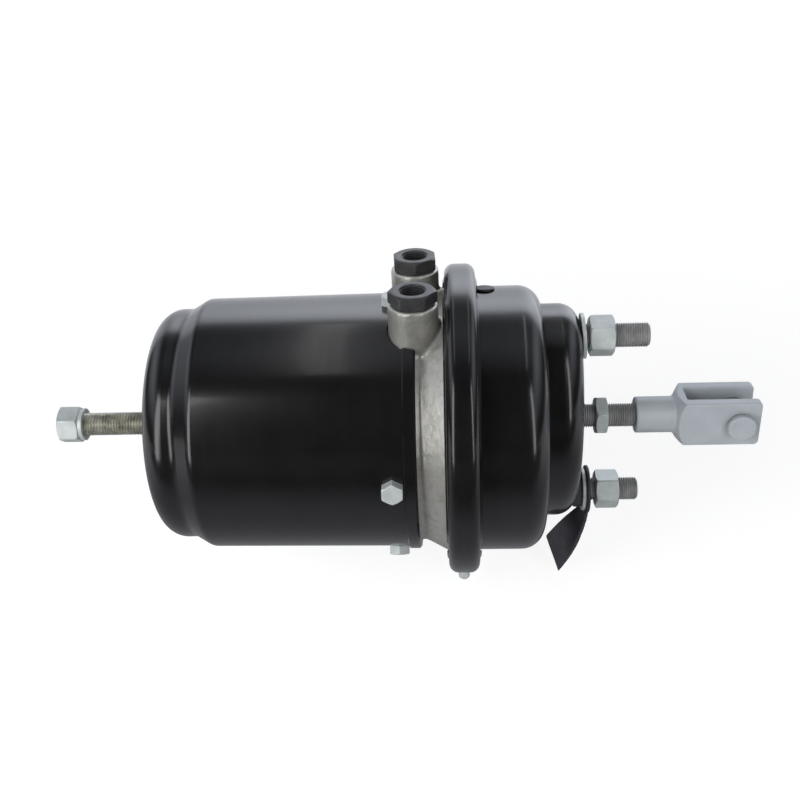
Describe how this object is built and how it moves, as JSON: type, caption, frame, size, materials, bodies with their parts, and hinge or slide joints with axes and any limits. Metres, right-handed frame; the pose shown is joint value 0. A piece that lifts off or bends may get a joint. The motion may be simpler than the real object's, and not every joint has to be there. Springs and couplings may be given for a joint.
{
  "type": "spring brake chamber",
  "caption": "Air operated spring brake chamber: clamped diaphragm front, spring cylinder, port casting, release bolt, mounting studs and push rod with clevis.",
  "frame": {"origin": "on the push rod's axis, in the plane of the mounting face of the front housing", "axes": "+X along the push rod, out of the mounting face towards the clevis; +Z towards the side of the air ports, along the line of the two studs; +Y completes a right-handed set"},
  "size_m": [0.48, 0.2096, 0.2367],
  "materials": {
    "black_paint": "gloss",
    "black_plastic": "satin",
    "black_rubber": "matt",
    "black_adapter": "satin",
    "cast_aluminium": "as cast",
    "bare_steel": "satin",
    "dark_steel": "satin",
    "olive_steel": "satin",
    "spring_steel": "satin",
    "zinc": "zinc plated",
    "grey_paint": "satin"
  },
  "bodies": {
    "chamber": {"front_housing": "black_paint", "vent_plug": "black_plastic", "rod_guide": "black_plastic", "stud_plate": "bare_steel", "mounting_studs": "dark_steel", "stud_nuts": "zinc", "stud_washers": "zinc", "stud_grommet": "black_rubber", "stud_strap": "black_rubber", "clamp_ring": "black_paint", "clamp_bolt": "zinc", "diaphragm": "black_rubber", "intermediate_flange": "cast_aluminium", "spigot_seal": "black_rubber", "tube_guide": "black_plastic", "tube_seals": "black_rubber", "port_adapter_service": "black_adapter", "port_adapter_spring": "black_adapter", "port_seal_rings": "black_rubber", "spring_cylinder": "black_paint", "cylinder_screws": "zinc", "release_bush": "bare_steel", "power_spring": "spring_steel", "return_spring": "spring_steel"},
    "spring_piston_body": {"spring_piston": "cast_aluminium", "piston_seal": "black_rubber", "piston_guide_ring": "black_plastic", "piston_tube": "bare_steel", "tube_plug": "black_plastic"},
    "release_bolt_body": {"release_bolt": "olive_steel", "release_nut": "zinc", "release_washer": "zinc"},
    "push_rod_body": {"push_plate": "bare_steel", "push_rod": "dark_steel", "jam_nut": "zinc", "clevis": "grey_paint"},
    "clevis_pin_body": {"clevis_pin": "grey_paint", "pin_washer": "zinc", "split_pin": "zinc"}
  },
  "joints": [
    {"name": "spring_piston_travel", "type": "slide", "parent": "chamber", "child": "spring_piston_body", "axis": [1, 0, 0], "range_m": [0, 0.057], "deforming": ["power_spring"]},
    {"name": "push_rod_stroke", "type": "slide", "parent": "chamber", "child": "push_rod_body", "axis": [1, 0, 0], "range_m": [0, 0.057], "deforming": ["return_spring", "diaphragm"]},
    {"name": "release_bolt_turn", "type": "hinge", "parent": "spring_piston_body", "child": "release_bolt_body", "pos_m": [-0.31, 0, 0], "axis": [1, 0, 0], "continuous": true},
    {"name": "clevis_pin_turn", "type": "hinge", "parent": "push_rod_body", "child": "clevis_pin_body", "pos_m": [0.107, 0, 0], "axis": [0, 1, 0], "continuous": true}
  ],
  "couplings": [
    {"joint": "push_rod_stroke", "follows": "spring_piston_travel", "ratio": 1}
  ]
}
